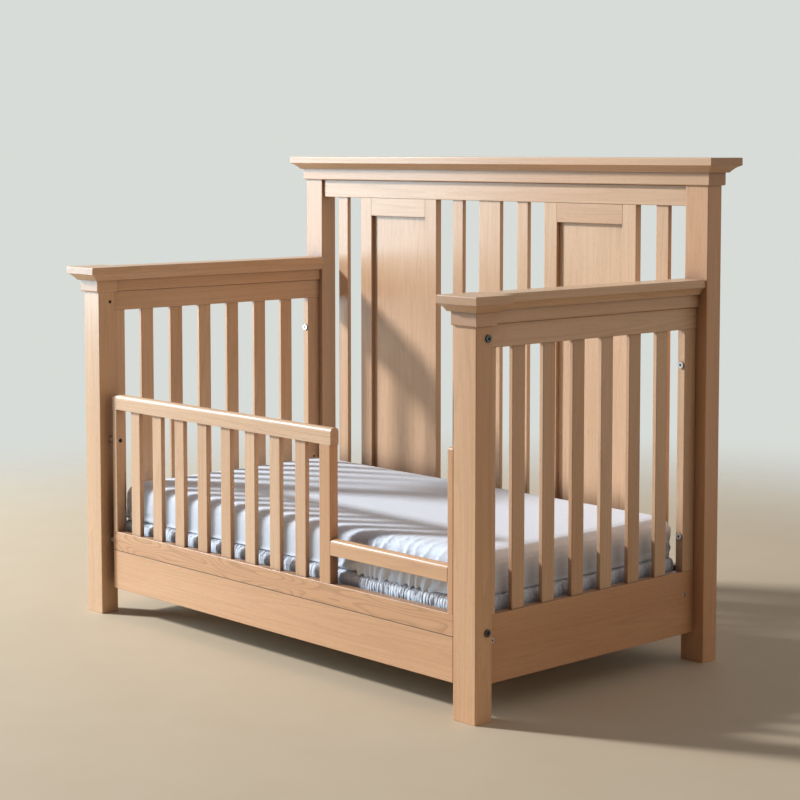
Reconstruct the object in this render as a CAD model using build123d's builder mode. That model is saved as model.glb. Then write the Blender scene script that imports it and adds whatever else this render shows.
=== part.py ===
from build123d import *
import os
from math import copysign, hypot, sqrt

# Convertible baby crib set up as a toddler bed: headboard, end panels, guard rail, support and mattress.
# Frame: millimetres, +Z up, front towards -Y, +X to the right, origin on the floor under the middle.

# Posts
length_over_posts = 1450
depth_over_posts = 808
post_width = 67.5
post_depth = 50
headboard_post_height = 1126.5
end_post_height = 842.5
post_ease = 2

# Crowns: a slab over a cove over a neck
slab_thickness = 18
slab_ease = 2.5
cove_height = 17
cove_ledge = 6.5
cove_hollow = 2
neck_height = 30
neck_reach = 6
neck_reach_inner = 2
neck_ease = 3
headboard_crown_reach = 33.5
cap_reach = 32
cap_reach_inner = 20
rail_crown_reach = 26
rail_crown_joint = 1.5

# Slats and their housings
slat_width = 39
slat_thickness = 12
slat_ease = 2
housing_depth = 10
fit = 0.2

# End panels
rail_thickness = 22
rail_setback = 31
rail_ease = 1.5
end_top_rail_height = 50.5
lower_rail_bottom = 70
lower_rail_height = 149.5
stile_width = 40.5
end_slat_count = 6

# Headboard
headboard_rail_thickness = 22
headboard_rail_height = 48.5
headboard_centre_depth = 17.5
centre_slat_width = 78.5
frame_width = 303
frame_thickness = 19
frame_stile_width = 44
frame_rail_height = 49
field_thickness = 6
field_setback = 10
groove_depth = 8
groove_gap = 1

# Front: apron and guard rail
front_gap = 23
bolt_line = 34.5
guard_thickness = 24.5
apron_height = 99.5
guard_lower_rail_height = 50
guard_top_rail_height = 39
guard_top = 578.5
guard_end_post_width = 18
guard_mid_post_width = 38.5
guard_slat_count = 8
guard_round = 10
climb_in_width = 384
low_bar_height = 37.5
low_bar_rise = 67
top_rail_nose = 2
end_post_round = 7

# Mattress support
deck_drop = 11.5
support_end_gap = 12
support_side_gap = 10
angle_size = 30
angle_thickness = 3
deck_slat_width = 45
deck_slat_thickness = 2
deck_slat_count = 9
bracket_thickness = 3
bracket_width = 30
bracket_reach = 34
bracket_lip = 22
bracket_margin = 5
bracket_bolt_rise = 20
support_travel = 97.5

# Mattress
mattress_end_gap = 16
mattress_side_gap = 13
mattress_thickness = 140
mattress_crown = 9
mattress_shoulder = 32
mattress_foot = 14
mattress_draw = 4
mattress_corner = 45
seat_gap = 0.3

# Fasteners
bolt_radius = 4
bolt_head_radius = 8
bolt_head_height = 3.5
socket_radius = 3.4
socket_depth = 2.5
small_bolt_radius = 3
small_bolt_head_radius = 5.5
small_socket_radius = 2.4
post_bolt_drop = 26
post_bolt_length = 52
guard_rail_bolt_drop = 26.5
stile_bolt_drop = 134.5
stile_bolt_rise = 83.5
bolt_bite = 32
nut_radius = 6
nut_inset = 33
nut_drop = 56
nut_length = 20
guard_bolt_drop = 121
guard_counterbore_depth = 7
spacer_radius = 8
bracket_bolt_length = 16

# Places worked out from the sizes above
half_length = length_over_posts / 2
overall_depth = cap_reach + depth_over_posts + headboard_crown_reach
front_y = cap_reach - overall_depth / 2
back_y = front_y + depth_over_posts
headboard_y = back_y - post_depth
post_mid_x = half_length - post_width / 2
post_inner_x = half_length - post_width
front_post_y = front_y + post_depth / 2
headboard_post_y = headboard_y + post_depth / 2

rail_outer_x = half_length - rail_setback
rail_inner_x = rail_outer_x - rail_thickness
rail_mid_x = rail_outer_x - rail_thickness / 2
panel_front_y = front_y + post_depth
panel_run = headboard_y - panel_front_y
panel_mid_y = (panel_front_y + headboard_y) / 2
lower_rail_top = lower_rail_bottom + lower_rail_height
end_top_rail_bottom = end_post_height - end_top_rail_height
end_slat_gap = (panel_run - 2 * stile_width - end_slat_count * slat_width) / (end_slat_count + 1)
end_slat_pitch = slat_width + end_slat_gap

headboard_mid_y = headboard_y + headboard_centre_depth
headboard_rail_bottom = headboard_post_height - headboard_rail_height
headboard_open = headboard_rail_bottom - lower_rail_top
headboard_gap = (2 * post_inner_x - centre_slat_width - 4 * slat_width - 2 * frame_width) / 8
near_slat_x = centre_slat_width / 2 + headboard_gap + slat_width / 2
far_slat_x = post_inner_x - headboard_gap - slat_width / 2
frame_mid_x = near_slat_x + slat_width / 2 + headboard_gap + frame_width / 2
frame_opening = frame_width - 2 * frame_stile_width
field_mid_y = headboard_mid_y - frame_thickness / 2 + field_setback + field_thickness / 2

bolt_y = front_y + bolt_line
guard_half = post_inner_x - front_gap
guard_lower_rail_bottom = lower_rail_bottom + apron_height
guard_lower_rail_top = guard_lower_rail_bottom + guard_lower_rail_height
guard_top_rail_bottom = guard_top - guard_top_rail_height
guard_back_y = bolt_y + guard_thickness / 2
low_bar_bottom = guard_lower_rail_top + low_bar_rise
guard_bolt_height = guard_top - guard_bolt_drop
climb_in_right = guard_half - guard_end_post_width
climb_in_left = climb_in_right - climb_in_width
mid_post_x = climb_in_left - guard_mid_post_width / 2
slat_field_left = guard_end_post_width - guard_half
slat_field_right = climb_in_left - guard_mid_post_width
slat_field = slat_field_right - slat_field_left
guard_slat_gap = (slat_field - guard_slat_count * slat_width) / (guard_slat_count + 1)
guard_slat_pitch = slat_width + guard_slat_gap
guard_slat_x = (slat_field_left + slat_field_right) / 2

post_bolt_high = end_post_height - post_bolt_drop
post_bolt_low = guard_lower_rail_top - guard_rail_bolt_drop
stile_bolt_high = end_post_height - stile_bolt_drop
stile_bolt_low = lower_rail_top + stile_bolt_rise
nut_height = lower_rail_top - nut_drop

deck_height = lower_rail_top - deck_drop
support_half = rail_inner_x - support_end_gap
support_front_y = guard_back_y + support_side_gap
headboard_face_y = headboard_mid_y - headboard_rail_thickness / 2
support_back_y = headboard_face_y - support_side_gap
support_mid_y = (support_front_y + support_back_y) / 2
angle_top = deck_height - deck_slat_thickness
shelf_top = angle_top - angle_size
bracket_bolt_z = lower_rail_top + bracket_bolt_rise
front_bracket_y = panel_front_y + bracket_margin + bracket_width / 2
back_bracket_y = headboard_y - bracket_margin - bracket_width / 2
deck_slat_pitch = (2 * support_half - deck_slat_width) / (deck_slat_count - 1)
bracket_height = bracket_bolt_z + bracket_lip - shelf_top + bracket_thickness
mattress_bottom = deck_height + seat_gap
mattress_y = (guard_back_y + headboard_face_y) / 2
half_mattress_x = rail_inner_x - mattress_end_gap
half_mattress_y = (headboard_face_y - guard_back_y) / 2 - mattress_side_gap

# Share of a radius along each axis half way round a quarter circle
diagonal = sqrt(0.5)

ON_BASE = (Align.CENTER, Align.CENTER, Align.MIN)
UNDER = (Align.CENTER, Align.CENTER, Align.MAX)

os.makedirs("parts", exist_ok=True)


def save(piece, label):
    """Names a finished piece and writes it."""
    piece.part.label = label
    export_step(piece.part, f"parts/{label}.step")


def save_pair(piece, label):
    """Writes a right-hand piece and its mirrored left-hand twin."""
    with BuildPart() as twin:
        mirror(piece.part, about=Plane.YZ)
    save(piece, "right_" + label)
    save(twin, "left_" + label)


def facing_right(x, y, z):
    """A plane at a point of a face that looks towards +X."""
    return Plane((x, y, z), x_dir=(0, 1, 0), z_dir=(1, 0, 0))


def facing_left(x, y, z):
    """A plane at a point of a face that looks towards -X."""
    return Plane((x, y, z), x_dir=(0, -1, 0), z_dir=(-1, 0, 0))


def facing_front(x, y, z):
    """A plane at a point of a face that looks towards -Y."""
    return Plane((x, y, z), x_dir=(1, 0, 0), z_dir=(0, -1, 0))


def facing_back(x, y, z):
    """A plane at a point of a face that looks towards +Y."""
    return Plane((x, y, z), x_dir=(-1, 0, 0), z_dir=(0, 1, 0))


def cove(foot, lip):
    """A slope from its foot to the lip under the slab, hollowed a little into the wood."""
    run = lip[0] - foot[0]
    rise = lip[1] - foot[1]
    slope_length = hypot(run, rise)
    middle_x = foot[0] + run / 2 - copysign(cove_hollow * rise / slope_length, run)
    middle_z = foot[1] + rise / 2 + cove_hollow * abs(run) / slope_length
    ThreePointArc(foot, (middle_x, middle_z), lip)


def crown_outline(neck_low, neck_high, slab_low, slab_high, base):
    """A crown's section: cove sides that rise from beside the neck to an overhanging slab."""
    cove_top = base + cove_height
    slab_top = cove_top + slab_thickness
    low_foot = (neck_low - cove_ledge, base)
    high_foot = (neck_high + cove_ledge, base)
    low_lip = (slab_low, cove_top)
    high_lip = (slab_high, cove_top)
    with BuildLine() as outline:
        Line(low_foot, high_foot)
        cove(high_foot, high_lip)
        Polyline(high_lip, (slab_high, slab_top), (slab_low, slab_top), low_lip)
        cove(low_foot, low_lip)
    make_face(outline.edges())


def bolts(planes, shank_radius, shank_length, head_radius, hex_radius):
    """Socket-head bolts whose heads seat on the given planes, with the shanks behind them."""
    for plane in planes:
        with Locations(plane):
            Cylinder(head_radius, bolt_head_height, align=ON_BASE)
            Cylinder(shank_radius, shank_length, align=UNDER)
        with BuildSketch(plane.offset(bolt_head_height)) as socket:
            RegularPolygon(hex_radius, 6)
        extrude(socket.sketch, amount=-socket_depth, mode=Mode.SUBTRACT)


# Headboard posts
stile_bolt_points = [(rail_mid_x, headboard_y, z) for z in (stile_bolt_high, stile_bolt_low)]
rear_bolt_point = (rail_mid_x, back_y, nut_height)
with BuildPart() as headboard_post:
    with Locations((post_mid_x, headboard_post_y, 0)):
        Box(post_width, post_depth, headboard_post_height, align=ON_BASE)
    fillet(headboard_post.edges().filter_by(Axis.Z), post_ease)
    for point in stile_bolt_points:
        with Locations(facing_front(*point)):
            Hole(bolt_radius + fit, bolt_bite + fit)
    with Locations(facing_back(*rear_bolt_point)):
        Hole(bolt_radius + fit, post_depth)
save_pair(headboard_post, "headboard_post")

# Headboard neck and crown
with BuildPart() as headboard_neck:
    with Locations((0, headboard_post_y, headboard_post_height)):
        Box(length_over_posts + 2 * neck_reach, post_depth + 2 * neck_reach, neck_height, align=ON_BASE)
    fillet(headboard_neck.faces().sort_by(Axis.Z)[0].edges(), neck_ease)
save(headboard_neck, "headboard_neck")

headboard_crown_base = headboard_post_height + neck_height
with BuildPart() as headboard_crown:
    with BuildSketch(Plane.XZ):
        crown_outline(
            -half_length - neck_reach,
            half_length + neck_reach,
            -half_length - headboard_crown_reach,
            half_length + headboard_crown_reach,
            headboard_crown_base,
        )
    extrude(amount=overall_depth, both=True)
    with BuildSketch(Plane.YZ):
        crown_outline(
            headboard_y - neck_reach,
            back_y + neck_reach,
            headboard_y - headboard_crown_reach,
            back_y + headboard_crown_reach,
            headboard_crown_base,
        )
    extrude(amount=length_over_posts, both=True, mode=Mode.INTERSECT)
    fillet(headboard_crown.faces().sort_by(Axis.Z)[-1].edges(), slab_ease)
save(headboard_crown, "headboard_crown")

# Headboard rails, housed for the upright slats
slat_centres = [side * x for side in (-1, 1) for x in (near_slat_x, far_slat_x)]
housing_width = slat_width + 2 * fit
housing_thickness = slat_thickness + 2 * fit
with BuildPart() as headboard_top_rail:
    with Locations((0, headboard_mid_y, headboard_rail_bottom)):
        Box(2 * post_inner_x, headboard_rail_thickness, headboard_rail_height, align=ON_BASE)
    fillet(headboard_top_rail.edges().filter_by(Axis.X), rail_ease)
    with Locations([(x, headboard_mid_y, headboard_rail_bottom) for x in slat_centres]):
        Box(housing_width, housing_thickness, housing_depth, align=ON_BASE, mode=Mode.SUBTRACT)
    with Locations((0, headboard_mid_y, headboard_rail_bottom)):
        Box(
            centre_slat_width + 2 * fit,
            housing_thickness,
            housing_depth,
            align=ON_BASE,
            mode=Mode.SUBTRACT,
        )
save(headboard_top_rail, "headboard_top_rail")

with BuildPart() as headboard_lower_rail:
    with Locations((0, headboard_mid_y, lower_rail_bottom)):
        Box(2 * post_inner_x, headboard_rail_thickness, lower_rail_height, align=ON_BASE)
    fillet(headboard_lower_rail.edges().filter_by(Axis.X), rail_ease)
    with Locations([(x, headboard_mid_y, lower_rail_top) for x in slat_centres]):
        Box(housing_width, housing_thickness, housing_depth, align=UNDER, mode=Mode.SUBTRACT)
    with Locations((0, headboard_mid_y, lower_rail_top)):
        Box(centre_slat_width + 2 * fit, housing_thickness, housing_depth, align=UNDER, mode=Mode.SUBTRACT)
save(headboard_lower_rail, "headboard_lower_rail")

# Headboard slats
headboard_slat_length = headboard_open + 2 * housing_depth
with BuildPart() as headboard_slats:
    with Locations([(x, headboard_mid_y, lower_rail_top - housing_depth) for x in slat_centres]):
        Box(slat_width, slat_thickness, headboard_slat_length, align=ON_BASE)
    fillet(headboard_slats.edges().filter_by(Axis.Z), slat_ease)
save(headboard_slats, "headboard_slats")

with BuildPart() as headboard_centre_slat:
    with Locations((0, headboard_mid_y, lower_rail_top - housing_depth)):
        Box(centre_slat_width, slat_thickness, headboard_slat_length, align=ON_BASE)
    fillet(headboard_centre_slat.edges().filter_by(Axis.Z), slat_ease)
save(headboard_centre_slat, "headboard_centre_slat")

# Headboard frame-and-panel sections: grooved stiles and rails around a floating field
groove_width = field_thickness + 2 * fit
frame_field_bottom = lower_rail_top + frame_rail_height
frame_field_top = headboard_rail_bottom - frame_rail_height
for stile_name, direction in (("inner", -1), ("outer", 1)):
    stile_x = frame_mid_x + direction * (frame_width - frame_stile_width) / 2
    groove_x = frame_mid_x + direction * (frame_opening + groove_depth) / 2
    with BuildPart() as frame_stile:
        with Locations((stile_x, headboard_mid_y, lower_rail_top)):
            Box(frame_stile_width, frame_thickness, headboard_open, align=ON_BASE)
        fillet(frame_stile.edges().filter_by(Axis.Z), rail_ease)
        with Locations((groove_x, field_mid_y, lower_rail_top)):
            Box(groove_depth, groove_width, headboard_open, align=ON_BASE, mode=Mode.SUBTRACT)
    save_pair(frame_stile, f"frame_{stile_name}_stile")

with BuildPart() as frame_top_rail:
    with Locations((frame_mid_x, headboard_mid_y, frame_field_top)):
        Box(frame_opening, frame_thickness, frame_rail_height, align=ON_BASE)
    fillet(frame_top_rail.edges().filter_by(Axis.X), rail_ease)
    with Locations((frame_mid_x, field_mid_y, frame_field_top)):
        Box(frame_opening, groove_width, groove_depth, align=ON_BASE, mode=Mode.SUBTRACT)
save_pair(frame_top_rail, "frame_top_rail")

with BuildPart() as frame_lower_rail:
    with Locations((frame_mid_x, headboard_mid_y, lower_rail_top)):
        Box(frame_opening, frame_thickness, frame_rail_height, align=ON_BASE)
    fillet(frame_lower_rail.edges().filter_by(Axis.X), rail_ease)
    with Locations((frame_mid_x, field_mid_y, frame_field_bottom)):
        Box(frame_opening, groove_width, groove_depth, align=UNDER, mode=Mode.SUBTRACT)
save_pair(frame_lower_rail, "frame_lower_rail")

field_width = frame_opening + 2 * (groove_depth - groove_gap)
field_height = frame_field_top - frame_field_bottom + 2 * groove_depth - groove_gap
with BuildPart() as frame_field:
    with Locations((frame_mid_x, field_mid_y, frame_field_bottom - groove_depth)):
        Box(field_width, field_thickness, field_height, align=ON_BASE)
save_pair(frame_field, "frame_field")

# End panel front posts, bored across for the guard and front-side bolts
upper_post_bolt = facing_right(half_length, bolt_y, post_bolt_high)
lower_post_bolt = facing_right(half_length, bolt_y, post_bolt_low)
front_nut_y = panel_front_y + nut_inset
back_nut_y = headboard_y - nut_inset
with BuildPart() as front_post:
    with Locations((post_mid_x, front_post_y, 0)):
        Box(post_width, post_depth, end_post_height, align=ON_BASE)
    fillet(front_post.edges().filter_by(Axis.Z), post_ease)
    with Locations(upper_post_bolt, lower_post_bolt):
        Hole(bolt_radius + fit, post_width)
    with Locations(facing_left(post_inner_x, bolt_y, guard_bolt_height)):
        Hole(small_bolt_radius + fit, bolt_bite + fit)
    with Locations(facing_back(rail_mid_x, panel_front_y, nut_height)):
        Hole(bolt_radius + fit, bolt_bite)
save_pair(front_post, "front_post")

# Post necks and caps
cap_inner_x = post_inner_x - neck_reach_inner
cap_outer_x = half_length + neck_reach
with BuildPart() as post_neck:
    with Locations(((cap_inner_x + cap_outer_x) / 2, front_post_y, end_post_height)):
        Box(cap_outer_x - cap_inner_x, post_depth + 2 * neck_reach, neck_height, align=ON_BASE)
    fillet(post_neck.faces().sort_by(Axis.Z)[0].edges(), neck_ease)
save_pair(post_neck, "post_neck")

end_crown_base = end_post_height + neck_height
with BuildPart() as post_cap:
    with BuildSketch(Plane.XZ):
        crown_outline(
            cap_inner_x,
            cap_outer_x,
            post_inner_x - cap_reach_inner,
            half_length + cap_reach,
            end_crown_base,
        )
    extrude(amount=overall_depth, both=True)
    with BuildSketch(Plane.YZ):
        crown_outline(
            front_y - neck_reach,
            panel_front_y + neck_reach,
            front_y - cap_reach,
            panel_front_y + cap_reach,
            end_crown_base,
        )
    extrude(amount=length_over_posts, both=True, mode=Mode.INTERSECT)
    fillet(post_cap.faces().sort_by(Axis.Z)[-1].edges(), slab_ease)
save_pair(post_cap, "post_cap")

# Rail necks and crowns behind the caps
rail_neck_front_y = panel_front_y + neck_reach
rail_neck_run = headboard_y - rail_neck_front_y
with BuildPart() as rail_neck:
    with Locations((rail_mid_x, rail_neck_front_y + rail_neck_run / 2, end_post_height)):
        Box(rail_thickness + 2 * neck_reach, rail_neck_run, neck_height, align=ON_BASE)
    fillet(rail_neck.faces().sort_by(Axis.Z)[0].edges().filter_by(Axis.Y), neck_ease)
save_pair(rail_neck, "rail_neck")

# The rail crown's front end is coped to the cap's back, one joint's width away from it.
with BuildPart() as rail_crown:
    with BuildSketch(Plane.XZ.offset(-headboard_y)):
        crown_outline(
            rail_inner_x - neck_reach,
            rail_outer_x + neck_reach,
            rail_inner_x - rail_crown_reach,
            rail_outer_x + rail_crown_reach,
            end_crown_base,
        )
    extrude(amount=rail_neck_run)
    fillet(rail_crown.faces().sort_by(Axis.Z)[-1].edges().filter_by(Axis.Y), slab_ease)
    with BuildSketch(Plane.YZ):
        crown_outline(
            front_y,
            panel_front_y + neck_reach + rail_crown_joint,
            front_y - cap_reach,
            panel_front_y + cap_reach + rail_crown_joint,
            end_crown_base,
        )
    extrude(amount=length_over_posts, both=True, mode=Mode.SUBTRACT)
save_pair(rail_crown, "rail_crown")

# End panel rails, housed for the slats
with BuildPart() as end_top_rail:
    with Locations((rail_mid_x, panel_mid_y, end_top_rail_bottom)):
        Box(rail_thickness, panel_run, end_top_rail_height, align=ON_BASE)
    fillet(end_top_rail.edges().filter_by(Axis.Y), rail_ease)
    with Locations((rail_mid_x, panel_mid_y, end_top_rail_bottom)):
        with GridLocations(0, end_slat_pitch, 1, end_slat_count):
            Box(housing_thickness, housing_width, housing_depth, align=ON_BASE, mode=Mode.SUBTRACT)
save_pair(end_top_rail, "end_top_rail")

with BuildPart() as end_lower_rail:
    with Locations((rail_mid_x, panel_mid_y, lower_rail_bottom)):
        Box(rail_thickness, panel_run, lower_rail_height, align=ON_BASE)
    fillet(end_lower_rail.edges().filter_by(Axis.Y), rail_ease)
    with Locations((rail_mid_x, panel_mid_y, lower_rail_top)):
        with GridLocations(0, end_slat_pitch, 1, end_slat_count):
            Box(housing_thickness, housing_width, housing_depth, align=UNDER, mode=Mode.SUBTRACT)
    for nut_y in (front_nut_y, back_nut_y):
        with Locations(facing_right(rail_outer_x, nut_y, nut_height)):
            Hole(nut_radius + fit, nut_length)
    with Locations(facing_front(rail_mid_x, panel_front_y, nut_height)):
        Hole(bolt_radius + fit, nut_inset)
    with Locations(facing_back(rail_mid_x, headboard_y, nut_height)):
        Hole(bolt_radius + fit, nut_inset)
save_pair(end_lower_rail, "end_lower_rail")

# End panel stiles, bored for the support brackets at two heights
stile_length = end_top_rail_bottom - lower_rail_top
bracket_levels = (bracket_bolt_z, bracket_bolt_z + support_travel)
with BuildPart() as front_stile:
    with Locations((rail_mid_x, panel_front_y + stile_width / 2, lower_rail_top)):
        Box(rail_thickness, stile_width, stile_length, align=ON_BASE)
    fillet(front_stile.edges().filter_by(Axis.Z), rail_ease)
    for level in bracket_levels:
        with Locations(facing_left(rail_inner_x, front_bracket_y, level)):
            Hole(small_bolt_radius + fit, bracket_bolt_length)
save_pair(front_stile, "front_stile")

with BuildPart() as back_stile:
    with Locations((rail_mid_x, headboard_y - stile_width / 2, lower_rail_top)):
        Box(rail_thickness, stile_width, stile_length, align=ON_BASE)
    fillet(back_stile.edges().filter_by(Axis.Z), rail_ease)
    for level in bracket_levels:
        with Locations(facing_left(rail_inner_x, back_bracket_y, level)):
            Hole(small_bolt_radius + fit, bracket_bolt_length)
    for point in stile_bolt_points:
        with Locations(facing_back(*point)):
            Hole(bolt_radius + fit, stile_width)
save_pair(back_stile, "back_stile")

# End panel slats
with BuildPart() as end_slats:
    with Locations((rail_mid_x, panel_mid_y, lower_rail_top - housing_depth)):
        with GridLocations(0, end_slat_pitch, 1, end_slat_count):
            Box(slat_thickness, slat_width, stile_length + 2 * housing_depth, align=ON_BASE)
    fillet(end_slats.edges().filter_by(Axis.Z), slat_ease)
save_pair(end_slats, "end_slats")

# Front apron, its top left square so that the joint with the guard rail closes to a line
with BuildPart() as front_apron:
    with Locations((0, bolt_y, lower_rail_bottom)):
        Box(2 * guard_half, guard_thickness, apron_height, align=ON_BASE)
    fillet(front_apron.edges().filter_by(Axis.X).group_by(Axis.Z)[0], rail_ease)
    fillet(front_apron.edges().filter_by(Axis.Z), rail_ease)
save(front_apron, "front_apron")

# Guard rail: lower rail, end and middle posts, top rail, low bar at the climb-in gap, slats
with BuildPart() as guard_lower_rail:
    with Locations((0, bolt_y, guard_lower_rail_bottom)):
        Box(2 * guard_half, guard_thickness, guard_lower_rail_height, align=ON_BASE)
    fillet(guard_lower_rail.edges().filter_by(Axis.X), rail_ease)
    with Locations((guard_slat_x, bolt_y, guard_lower_rail_top)):
        with GridLocations(guard_slat_pitch, 0, guard_slat_count, 1):
            Box(housing_width, housing_thickness, housing_depth, align=UNDER, mode=Mode.SUBTRACT)
    for end_face in (
        facing_right(guard_half, bolt_y, post_bolt_low),
        facing_left(-guard_half, bolt_y, post_bolt_low),
    ):
        with Locations(end_face):
            Hole(bolt_radius + fit, bolt_bite + fit)
save(guard_lower_rail, "guard_lower_rail")

with BuildPart() as guard_left_post:
    with Locations((-guard_half + guard_end_post_width / 2, bolt_y, guard_lower_rail_top)):
        Box(
            guard_end_post_width,
            guard_thickness,
            guard_top_rail_bottom - guard_lower_rail_top,
            align=ON_BASE,
        )
    fillet(guard_left_post.edges().filter_by(Axis.Z), slat_ease)
    with Locations(facing_right(-climb_in_right, bolt_y, guard_bolt_height)):
        CounterBoreHole(
            small_bolt_radius + fit,
            small_bolt_head_radius + fit,
            guard_counterbore_depth,
            guard_end_post_width,
        )
save(guard_left_post, "guard_left_post")

with BuildPart() as guard_right_post:
    with Locations((guard_half - guard_end_post_width / 2, bolt_y, guard_lower_rail_top)):
        Box(guard_end_post_width, guard_thickness, guard_top - guard_lower_rail_top, align=ON_BASE)
    fillet(guard_right_post.edges().filter_by(Axis.Z), slat_ease)
    fillet(guard_right_post.faces().sort_by(Axis.Z)[-1].edges().filter_by(Axis.Y), end_post_round)
    with Locations(facing_left(climb_in_right, bolt_y, guard_bolt_height)):
        CounterBoreHole(
            small_bolt_radius + fit,
            small_bolt_head_radius + fit,
            guard_counterbore_depth,
            guard_end_post_width,
        )
save(guard_right_post, "guard_right_post")

with BuildPart() as guard_mid_post:
    with Locations((mid_post_x, bolt_y, guard_lower_rail_top)):
        Box(
            guard_mid_post_width,
            guard_thickness,
            guard_top_rail_bottom - guard_lower_rail_top,
            align=ON_BASE,
        )
    fillet(guard_mid_post.edges().filter_by(Axis.Z), slat_ease)
save(guard_mid_post, "guard_mid_post")

guard_top_rail_right = climb_in_left + top_rail_nose
guard_top_rail_length = guard_top_rail_right + guard_half
with BuildPart() as guard_top_rail:
    with Locations((guard_top_rail_right - guard_top_rail_length / 2, bolt_y, guard_top_rail_bottom)):
        Box(guard_top_rail_length, guard_thickness, guard_top_rail_height, align=ON_BASE)
    fillet(guard_top_rail.edges().filter_by(Axis.X).group_by(Axis.Z)[-1], guard_round)
    with Locations((guard_slat_x, bolt_y, guard_top_rail_bottom)):
        with GridLocations(guard_slat_pitch, 0, guard_slat_count, 1):
            Box(housing_width, housing_thickness, housing_depth, align=ON_BASE, mode=Mode.SUBTRACT)
save(guard_top_rail, "guard_top_rail")

with BuildPart() as guard_low_bar:
    with Locations(((climb_in_left + climb_in_right) / 2, bolt_y, low_bar_bottom)):
        Box(climb_in_width, guard_thickness, low_bar_height, align=ON_BASE)
    fillet(guard_low_bar.edges().filter_by(Axis.X).group_by(Axis.Z)[-1], guard_round)
save(guard_low_bar, "guard_low_bar")

guard_slat_length = guard_top_rail_bottom - guard_lower_rail_top + 2 * housing_depth
with BuildPart() as guard_slats:
    with Locations((guard_slat_x, bolt_y, guard_lower_rail_top - housing_depth)):
        with GridLocations(guard_slat_pitch, 0, guard_slat_count, 1):
            Box(slat_width, slat_thickness, guard_slat_length, align=ON_BASE)
    fillet(guard_slats.edges().filter_by(Axis.Z), slat_ease)
save(guard_slats, "guard_slats")

# Spacer sleeves that hold the guard off the posts
with BuildPart() as guard_spacers:
    for plane, bore in (
        (facing_right(guard_half, bolt_y, guard_bolt_height), small_bolt_radius + fit),
        (facing_right(guard_half, bolt_y, post_bolt_low), bolt_radius + fit),
    ):
        with Locations(plane):
            Cylinder(spacer_radius, front_gap, align=ON_BASE)
            Cylinder(bore, front_gap, align=ON_BASE, mode=Mode.SUBTRACT)
    mirror(about=Plane.YZ)
save(guard_spacers, "guard_spacers")

# Mattress support: steel angle frame with flat cross slats
def angle_outline():
    """An angle section with its corner at the outer top, flange inwards and web downwards."""
    with BuildLine() as outline:
        Polyline(
            (0, 0),
            (0, -angle_size),
            (angle_thickness, -angle_size),
            (angle_thickness, -angle_thickness),
            (angle_size, -angle_thickness),
            (angle_size, 0),
            close=True,
        )
    make_face(outline.edges())


with BuildPart() as support_long_rails:
    for edge_y, inwards in ((support_front_y, 1), (support_back_y, -1)):
        corner = Plane(
            (-inwards * (support_half - angle_size), edge_y, angle_top),
            x_dir=(0, inwards, 0),
            z_dir=(inwards, 0, 0),
        )
        with BuildSketch(corner):
            angle_outline()
        extrude(amount=2 * (support_half - angle_size))
save(support_long_rails, "support_long_rails")

with BuildPart() as support_end_rails:
    for inwards in (1, -1):
        corner = Plane(
            (-inwards * support_half, support_mid_y, angle_top),
            x_dir=(inwards, 0, 0),
            z_dir=(0, -inwards, 0),
        )
        with BuildSketch(corner):
            angle_outline()
        extrude(amount=(support_back_y - support_front_y) / 2, both=True)
save(support_end_rails, "support_end_rails")

with BuildPart() as support_slats:
    with Locations((0, support_mid_y, angle_top)):
        with GridLocations(deck_slat_pitch, 0, deck_slat_count, 1):
            Box(deck_slat_width, support_back_y - support_front_y, deck_slat_thickness, align=ON_BASE)
save(support_slats, "support_slats")

# Corner brackets that carry the support, with their bolts
bracket_leg_x = rail_inner_x - bracket_thickness / 2
bracket_points = [(rail_inner_x, y, shelf_top) for y in (front_bracket_y, back_bracket_y)]
with BuildPart() as support_brackets:
    for x, y, z in bracket_points:
        with Locations((bracket_leg_x, y, z - bracket_thickness)):
            Box(bracket_thickness, bracket_width, bracket_height, align=ON_BASE)
        with Locations((x - bracket_reach / 2, y, z)):
            Box(bracket_reach, bracket_width, bracket_thickness, align=UNDER)
        with Locations(facing_left(x - bracket_thickness, y, bracket_bolt_z)):
            Hole(small_bolt_radius + fit, bracket_thickness)
    mirror(about=Plane.YZ)
save(support_brackets, "support_brackets")

bracket_face_x = rail_inner_x - bracket_thickness
with BuildPart() as bracket_bolts:
    bolts(
        [facing_left(bracket_face_x, y, bracket_bolt_z) for x, y, z in bracket_points],
        small_bolt_radius,
        bracket_bolt_length,
        small_bolt_head_radius,
        small_socket_radius,
    )
    mirror(about=Plane.YZ)
save(bracket_bolts, "bracket_bolts")

# Bolts through the back stiles into the headboard posts
stile_front_y = headboard_y - stile_width
with BuildPart() as stile_bolts:
    bolts(
        [facing_front(x, stile_front_y, z) for x, y, z in stile_bolt_points],
        bolt_radius,
        stile_width + bolt_bite,
        bolt_head_radius,
        socket_radius,
    )
    mirror(about=Plane.YZ)
save(stile_bolts, "stile_bolts")

# Bolts across the front posts: spare ones for a full front side above, the guard's own below
with BuildPart() as upper_post_bolts:
    bolts([upper_post_bolt], bolt_radius, post_bolt_length, bolt_head_radius, socket_radius)
    mirror(about=Plane.YZ)
save(upper_post_bolts, "upper_post_bolts")

with BuildPart() as lower_post_bolts:
    bolts(
        [lower_post_bolt],
        bolt_radius,
        post_width + front_gap + bolt_bite,
        bolt_head_radius,
        socket_radius,
    )
    mirror(about=Plane.YZ)
save(lower_post_bolts, "lower_post_bolts")

# Bolts sunk in the guard's end posts
guard_bolt_seat_x = climb_in_right + guard_counterbore_depth
with BuildPart() as guard_bolts:
    bolts(
        [facing_left(guard_bolt_seat_x, bolt_y, guard_bolt_height)],
        small_bolt_radius,
        guard_half - guard_bolt_seat_x + front_gap + bolt_bite,
        small_bolt_head_radius,
        small_socket_radius,
    )
    mirror(about=Plane.YZ)
save(guard_bolts, "guard_bolts")

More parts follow.
